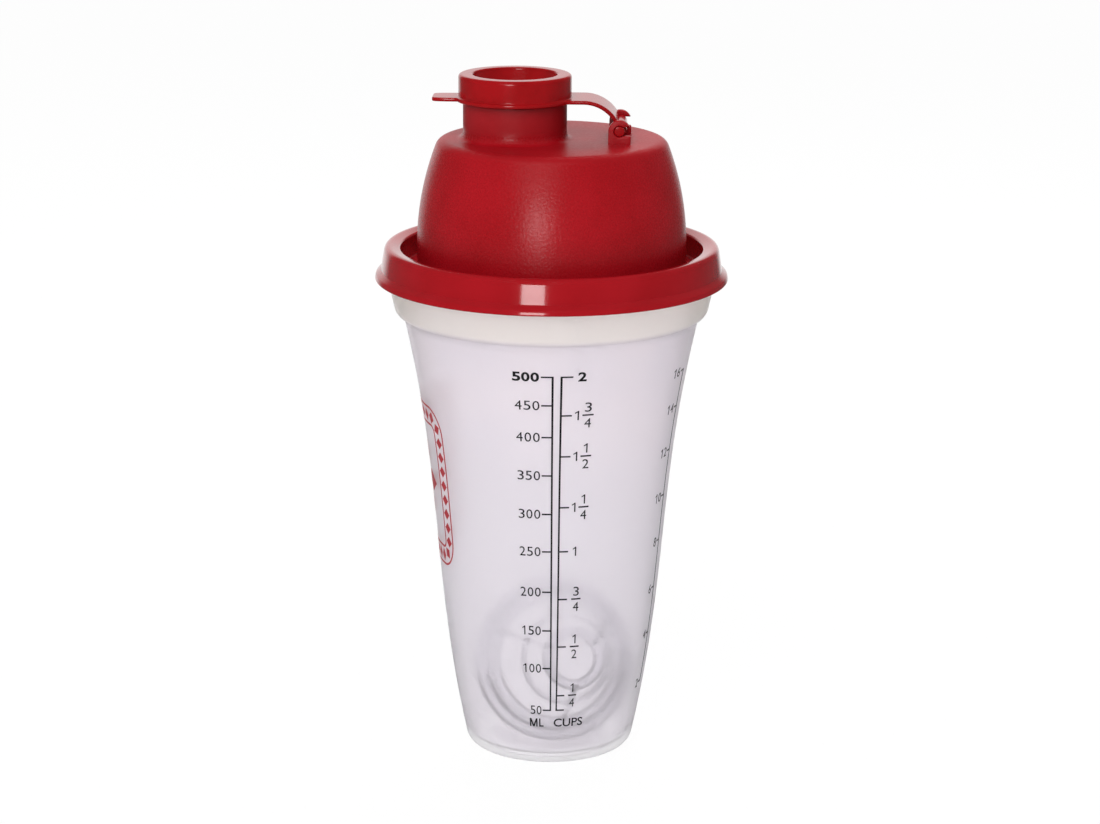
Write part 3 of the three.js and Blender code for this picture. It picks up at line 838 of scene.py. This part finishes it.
# letters and numerals of the built-in face, as points (x and y from 0 to 1, depth) and faces
def glyphMesh(text, bold):
    curve = bpy.data.curves.new("glyphs", "FONT")
    curve.body, curve.offset = text, bold
    curve.extrude, curve.resolution_u = ink["depth"], ink["curveSteps"]
    holder = bpy.data.objects.new("glyphs", curve)
    bpy.context.scene.collection.objects.link(holder)
    flat = bpy.data.meshes.new_from_object(holder.evaluated_get(bpy.context.evaluated_depsgraph_get()))
    points = np.zeros(len(flat.vertices) * 3)
    flat.vertices.foreach_get("co", points)
    faces = [list(polygon.vertices) for polygon in flat.polygons]
    bpy.data.objects.remove(holder)
    bpy.data.meshes.remove(flat)
    points = points.reshape(-1, 3)
    low, high = points.min(0), points.max(0)
    points[:, :2] = (points[:, :2] - low[:2]) / (high - low)[:2]
    return points, faces


# text in a box on the cup: left and span are angles, up is the height of its middle
def inkText(text, left, span, up, tall, azimuth, bold=0.0):
    points, faces = glyphMesh(text, bold)
    lift = np.where(points[:, 2] > 0, ink["high"], ink["low"])
    flat = np.column_stack([left + points[:, 0] * span, up + (points[:, 1] - 0.5) * tall, lift])
    return onCup(flat, azimuth), faces


# strokes in such a box: each is a grid of shares across, from 0 to 1, and up, from -0.5 to 0.5
def inkStrokes(strokes, left, span, up, tall, azimuth):
    return [inkPatch(left + span * np.array(across), up + tall * np.array(rise), azimuth)
            for across, rise in strokes]


# a one with a flag, which the built-in face lacks: an upright and a slanted stroke
def inkOne(*box):
    upright = np.linspace(-0.5, 0.5, 3)[:, None]
    return inkStrokes([([oneStrokes["stem"]], upright), (oneStrokes["flagAcross"], oneStrokes["flagUp"])],
                      *box)


# an M, whose slants the built-in face blots: two uprights and two slants to the foot
def inkEm(*box):
    upright = np.linspace(-0.5, 0.5, 3)[:, None]
    slant = np.array(emStrokes["slant"])
    return inkStrokes([([emStrokes["left"]], upright), ([emStrokes["right"]], upright),
                       (slant, upright[::-2]), (1 - slant[:, ::-1], upright[::-2])], *box)


# a number on an even pitch, with its left, middle or right at an angle
def inkNumber(text, across, up, azimuth, align="middle", bold=False):
    wide = (ink["boldWide"] if bold else ink["digitWide"]) * perMm
    pitch = ink["pitch"] * perMm
    span = (len(text) - 1) * pitch + wide
    left = across - {"left": 0, "middle": span / 2, "right": span}[align]
    marks = []
    for place, digit in enumerate(text):
        box = (left + place * pitch, wide, up, ink["digitTall"], azimuth)
        marks += inkOne(*box) if digit == "1" else [inkText(digit, *box, ink["bold"] if bold else 0.0)]
    return marks


# heights of the millilitre marks and of the marks for every quarter of a cup
volumeHeights = {
    0: 6.0, 50: 19.75, 100: 34.6, 150: 47.7, 200: 60.9, 250: 74.5, 300: 87.0, 350: 99.8, 400: 112.5,
    450: 123.0, 500: 132.4,
}
quarterHeights = {1: 24.95, 2: 42.1, 3: 58.4, 4: 74.5, 5: 89.2, 6: 106.1, 7: 119.65, 8: 132.4}
measure = {
    "azimuth": 4.4, "first": 50, "last": 500, "step": 50, "halfGap": 1.75, "tick": 4.6, "numeralGap": 0.7,
    "alone": 8.3, "mixed": 7.3, "bar": 8.5, "mixedBar": 10.8, "barWide": 4.85, "fractionRise": 2.6,
    "wordDrop": 4.5, "em": (-14.35, 4.75), "ell": (-8.6, 2.7), "rightWord": (0.35, 18.05),
}


def heightOf(millilitres):
    return np.interp(millilitres, list(volumeHeights), list(volumeHeights.values()))


scaleLow, scaleHigh = heightOf(measure["first"]), heightOf(measure["last"])
wordBox = (scaleLow - measure["wordDrop"], ink["wordTall"], measure["azimuth"])


# a level tick from one angle to another
def inkTick(left, right, up, azimuth):
    return inkBar(left, right, up - halfTick, up + halfTick, azimuth)


# a scale's upright line at an angle, as long as the ticks at its ends reach
def inkSpine(across, low, high, azimuth):
    return inkBar(across - halfLine, across + halfLine, low - halfTick, high + halfTick, azimuth)


# left column: a tick and a number for every 50 millilitres
def millilitreMarks():
    edge, azimuth = -measure["halfGap"], measure["azimuth"]
    end = edge - measure["tick"]
    marks = [inkSpine(edge, scaleLow, scaleHigh, azimuth)]
    for volume in range(measure["first"], measure["last"] + 1, measure["step"]):
        up, bold = heightOf(volume), volume == measure["last"]
        marks.append(inkTick(end, edge, up, azimuth))
        marks += inkNumber(str(volume), end - measure["numeralGap"], up, azimuth, "right", bold)
    marks += inkEm(*measure["em"], *wordBox)
    marks.append(inkText("L", *measure["ell"], *wordBox, ink["wordBold"]))
    return marks


# a number above and a number below a level bar
def fractionMarks(above, below, left, up, azimuth):
    right, rise = left + measure["barWide"], measure["fractionRise"]
    middle = left + measure["barWide"] / 2
    return [inkTick(left, right, up, azimuth), *inkNumber(above, middle, up + rise, azimuth),
            *inkNumber(below, middle, up - rise, azimuth)]


# right column: a tick and a whole, mixed or plain fraction for every quarter of a cup
def cupMarks():
    edge, azimuth = measure["halfGap"], measure["azimuth"]
    marks = [inkSpine(edge, scaleLow, scaleHigh, azimuth)]
    marks += [inkTick(edge, edge + measure["tick"], up, azimuth)
              for up in (scaleLow, *quarterHeights.values())]
    fractions = {1: ("1", "4"), 2: ("1", "2"), 3: ("3", "4")}
    for quarter, up in quarterHeights.items():
        whole, part = divmod(quarter, 4)
        if whole:
            start, bold = measure["mixed" if part else "alone"], quarter == max(quarterHeights)
            marks += inkNumber(str(whole), start, up, azimuth, "left", bold)
        if part:
            marks += fractionMarks(*fractions[part], measure["mixedBar" if whole else "bar"], up, azimuth)
    marks.append(inkText("CUPS", *measure["rightWord"], *wordBox, ink["wordBold"]))
    return marks


ounces = {"azimuth": 74.0, "tick": 3.6, "numeralGap": 0.8, "millilitres": 29.57, "step": 2, "last": 16}


# a second, plain scale round the side: one mark for every two ounces
def ounceMarks():
    azimuth, tick = ounces["azimuth"], ounces["tick"]
    values = range(ounces["step"], ounces["last"] + 1, ounces["step"])
    levels = [heightOf(value * ounces["millilitres"]) for value in values]
    marks = [inkSpine(0, levels[0], levels[-1], azimuth)]
    for value, up in zip(values, levels):
        marks.append(inkTick(-tick, 0, up, azimuth))
        marks += inkNumber(str(value), -tick - ounces["numeralGap"], up, azimuth, "right")
    return marks


badge = {
    "azimuth": -88.0, "height": 89.0, "tall": 53.0, "wide": 52.0, "corner": 9.0, "cornerSteps": 12,
    "line": 0.7, "lineStep": 1.0, "border": 6.0, "lozenge": 4.6, "lozengeWide": 0.8, "lozengeGap": 1.0,
    "lozengeRows": 9, "lozengeColumns": 7, "tip": 0.01, "heart": 15.0, "heartReach": 0.55,
    "heartWide": 0.5, "heartTall": 0.9,
}


# a rounded rectangle's closed line, run at an inset from its outside: four quarter circles in turn
def badgeLine(inset):
    x, y = badge["wide"] / 2 - inset, badge["tall"] / 2 - inset
    corner, steps, quarter = badge["corner"] - inset, badge["cornerSteps"], math.pi / 2
    bends = [arc((sx * (x - corner), sy * (y - corner)), corner, k * quarter, (k + 1) * quarter, steps)
             for k, (sx, sy) in enumerate(((1, 1), (-1, 1), (-1, -1), (1, -1)))]
    return fillIn(np.vstack(bends), badge["lineStep"], loop=True)


# a band between two such lines, as a closed loop of four edges
def badgeBand(inset):
    outer = badgeLine(inset)
    inner = outer - outlineNormals(outer) * badge["line"]
    low, high = ink["low"], ink["high"]
    flat = [np.column_stack([edge * [perMm, 1] + [0, badge["height"]], np.full(len(edge), lift)])
            for edge, lift in ((outer, low), (outer, high), (inner, high), (inner, low))]
    return closedGrid(onCup(np.stack(flat, 1), badge["azimuth"]), loop=True)


# a lozenge: its width falls evenly from the middle to both tips; turned by lean about its centre
def badgeLozenge(centre, wide, tall, lean):
    t = np.linspace(-1, 1, badge["lozengeRows"])[:, None]
    width = wide / 2 * np.maximum(1 - np.abs(t), badge["tip"])
    across = np.linspace(-1, 1, badge["lozengeColumns"])[None] * width
    up = np.broadcast_to(t * tall / 2, across.shape)
    x = centre[0] + across * math.cos(lean) - up * math.sin(lean)
    y = centre[1] + across * math.sin(lean) + up * math.cos(lean)
    return inkPatch(x * perMm, badge["height"] + y, badge["azimuth"])


# two bands with lozenges standing evenly between them, and four larger ones round the middle
def badgeMarks():
    marks = [badgeBand(0), badgeBand(badge["border"])]
    middle = badgeLine((badge["border"] + badge["line"]) / 2)
    normals = outlineNormals(middle)
    middle, normals = np.vstack([middle, middle[:1]]), np.vstack([normals, normals[:1]])
    length = lengthAlong(middle)
    count = int(length[-1] / badge["lozenge"])
    places = (np.arange(count) + 0.5) / count * length[-1]
    wide = badge["lozenge"] * badge["lozengeWide"]
    tall = badge["border"] - badge["line"] - badge["lozengeGap"]
    for centre, out in zip(pickAlong(middle, length, places), pickAlong(normals, length, places)):
        marks.append(badgeLozenge(centre, wide, tall, math.atan2(out[1], out[0]) - math.pi / 2))
    shares = (badge["heartReach"], badge["heartWide"], badge["heartTall"])
    reach, wide, tall = (badge["heart"] * share for share in shares)
    for across, up in ((0, reach), (0, -reach), (reach, 0), (-reach, 0)):
        marks.append(badgeLozenge((across, up), wide, tall, 0 if across == 0 else math.pi / 2))
    return marks


def makePrints():
    black = inkFinish("black ink", inkLook["black"], inkLook["grey"])
    red = inkFinish("red ink", inkLook["red"], inkLook["pale"])
    addPiece("print_millilitres", millilitreMarks(), black, "cup", smooth=False)
    addPiece("print_cups", cupMarks(), black, "cup", smooth=False)
    addPiece("print_ounces", ounceMarks(), black, "cup", smooth=False)
    addPiece("print_lozenges", badgeMarks(), red, "cup", smooth=False)


# Studio: a pale floor, white surroundings, a broad box and a back box that give shape, and a strip box
# that shows in the highlights alone

studio = {
    "floor": 6.0, "floorColor": screenColor(252, 252, 252), "floorGlow": 0.97, "fill": 0.42, "dim": 0.12,
    "backdrop": (0.8, 0.94), "backdropTurn": -7.0, "white": (1, 1, 1, 1),
}
lamps = {
    "broad box": {"azimuth": -13.0, "distance": 0.7, "height": 0.8, "aim": 0.12, "wide": 0.6, "tall": 0.8,
                  "power": 7.2, "mirrored": False},
    "strip box": {"azimuth": -9.7, "distance": 0.95, "height": 0.3, "aim": 0.3, "wide": 0.25, "tall": 0.24,
                  "power": 2.0, "lighting": False},
    "back box": {"azimuth": 175.0, "distance": 0.8, "height": 0.85, "aim": 0.12, "wide": 0.9, "tall": 0.5,
                 "power": 9.0, "mirrored": False},
}


# 1 for what is seen straight or through the cup, and 1 for what is seen in a reflection alone
def seenRays(f):
    rays = f.node("ShaderNodeLightPath").socket.node
    camera, glossy, through = (Wire(f, rays.outputs[name])
                               for name in ("Is Camera Ray", "Is Glossy Ray", "Is Transmission Ray"))
    seen = camera.math("MAXIMUM", camera, through)
    return seen, glossy * (1 - seen)


# what reflections show towards (x, y): white where the backdrop is, behind the bottle, and dim on the
# camera's side
def inReflections(x, y):
    turn = math.radians(studio["backdropTurn"])
    backwards = x * math.sin(turn) + y * math.cos(turn)
    return studio["dim"] + backwards.step(*studio["backdrop"]) * (1 - studio["dim"])


# a square that shows white but still takes the bottle's shadow
def makeFloor():
    f = Finish("pale floor")
    x, y = f.parts(f.place())[:2]
    pale = f.node("ShaderNodeBsdfDiffuse", sockets={"Color": studio["floorColor"]})
    seen, mirrored = seenRays(f)
    reach = away(x, y)
    strength = seen + mirrored * inReflections(x / reach, y / reach)
    glow = f.node("ShaderNodeEmission", sockets={"Color": studio["white"], "Strength": strength})
    share = (seen + mirrored) * studio["floorGlow"]
    material = f.surface(f.node("ShaderNodeMixShader", sockets={0: share, 1: pale, 2: glow}))
    half = studio["floor"]
    corners = [(-half, -half, 0), (half, -half, 0), (half, half, 0), (-half, half, 0)]
    mesh = bpy.data.meshes.new("floor")
    mesh.from_pydata(corners, [], [(0, 1, 2, 3)])
    mesh.materials.append(material)
    floor = bpy.data.objects.new("floor", mesh)
    bpy.context.scene.collection.objects.link(floor)


# white where it is seen, backdrop and dim side in reflections, and an even fill for the rest
def makeWorld():
    world = bpy.data.worlds.new("white studio")
    world.use_nodes = True
    bpy.context.scene.world = world
    f = Finish("white studio", world.node_tree)
    x, y = f.parts(f.node("ShaderNodeTexCoord", output="Generated"))[:2]
    seen, mirrored = seenRays(f)
    strength = seen + mirrored * inReflections(x, y)
    strength = strength + studio["fill"] * (1 - seen - mirrored)
    light = f.node("ShaderNodeBackground", sockets={"Color": studio["white"], "Strength": strength})
    f.node("ShaderNodeOutputWorld", sockets={"Surface": light})


# a turn that points -Z along a direction with +Y as upright as it can be
def faceAlong(direction):
    back = -direction / np.linalg.norm(direction)
    right = np.cross([0, 0, 1], back)
    right /= np.linalg.norm(right)
    return Matrix(np.column_stack([right, np.cross(back, right), back]).tolist())


# a rectangular lamp beside the bottle, its face turned to a height on the bottle's axis
def addBox(name, azimuth, distance, height, aim, wide, tall, power, mirrored=True, lighting=True):
    lamp = bpy.data.lights.new(name, "AREA")
    lamp.shape, lamp.size, lamp.size_y, lamp.energy = "RECTANGLE", wide, tall, power
    box = bpy.data.objects.new(name, lamp)
    place = roundBottle(azimuth, distance, height)
    box.matrix_world = Matrix.Translation(tuple(place)) @ faceAlong(np.array([0, 0, aim]) - place).to_4x4()
    box.visible_camera = False
    box.visible_glossy = mirrored
    box.visible_diffuse = lighting
    bpy.context.scene.collection.objects.link(box)


def makeLights():
    for name, lamp in lamps.items():
        addBox(name, **lamp)
    print("studio: floor, white surroundings and", len(lamps), "lamps")


# Camera: where the photograph was taken from, worked out from the cup's and lid's ellipses

shot = {
    "distance": 896.8, "height": 353.3, "azimuth": 2.0, "pitch": 15.21, "roll": 0.3, "focalPixels": 2915.0,
    "imageWidth": 1100.0, "middleX": 550.8, "sensor": 36.0, "nearest": 0.01, "farthest": 50.0,
}


def makeCamera():
    data = bpy.data.cameras.new("camera")
    data.sensor_width = shot["sensor"]
    data.lens = shot["focalPixels"] / shot["imageWidth"] * shot["sensor"]
    data.shift_x = (shot["imageWidth"] / 2 - shot["middleX"]) / shot["imageWidth"]
    data.clip_start, data.clip_end = shot["nearest"], shot["farthest"]
    camera = bpy.data.objects.new("camera", data)
    place = roundBottle(shot["azimuth"], shot["distance"], shot["height"]) * mm
    camera.matrix_world = (Matrix.Translation(tuple(place))
                           @ Matrix.Rotation(math.radians(shot["azimuth"]), 4, "Z")
                           @ Matrix.Rotation(math.radians(90 - shot["pitch"]), 4, "X")
                           @ Matrix.Rotation(math.radians(shot["roll"]), 4, "Z"))
    bpy.context.scene.collection.objects.link(camera)
    bpy.context.scene.camera = camera
    print("camera: lens", round(data.lens, 1), "mm")


makeCamera()
makeCup(frostedFinish())
lidRed = lidFinish()
makeLid(lidRed)
makeEars(lidRed)
makeCap(capFinish())
makeWheel(wheelFinish())
makePrints()
makeFloor()
makeWorld()
makeLights()
bpy.context.scene.view_settings.view_transform = "Standard"
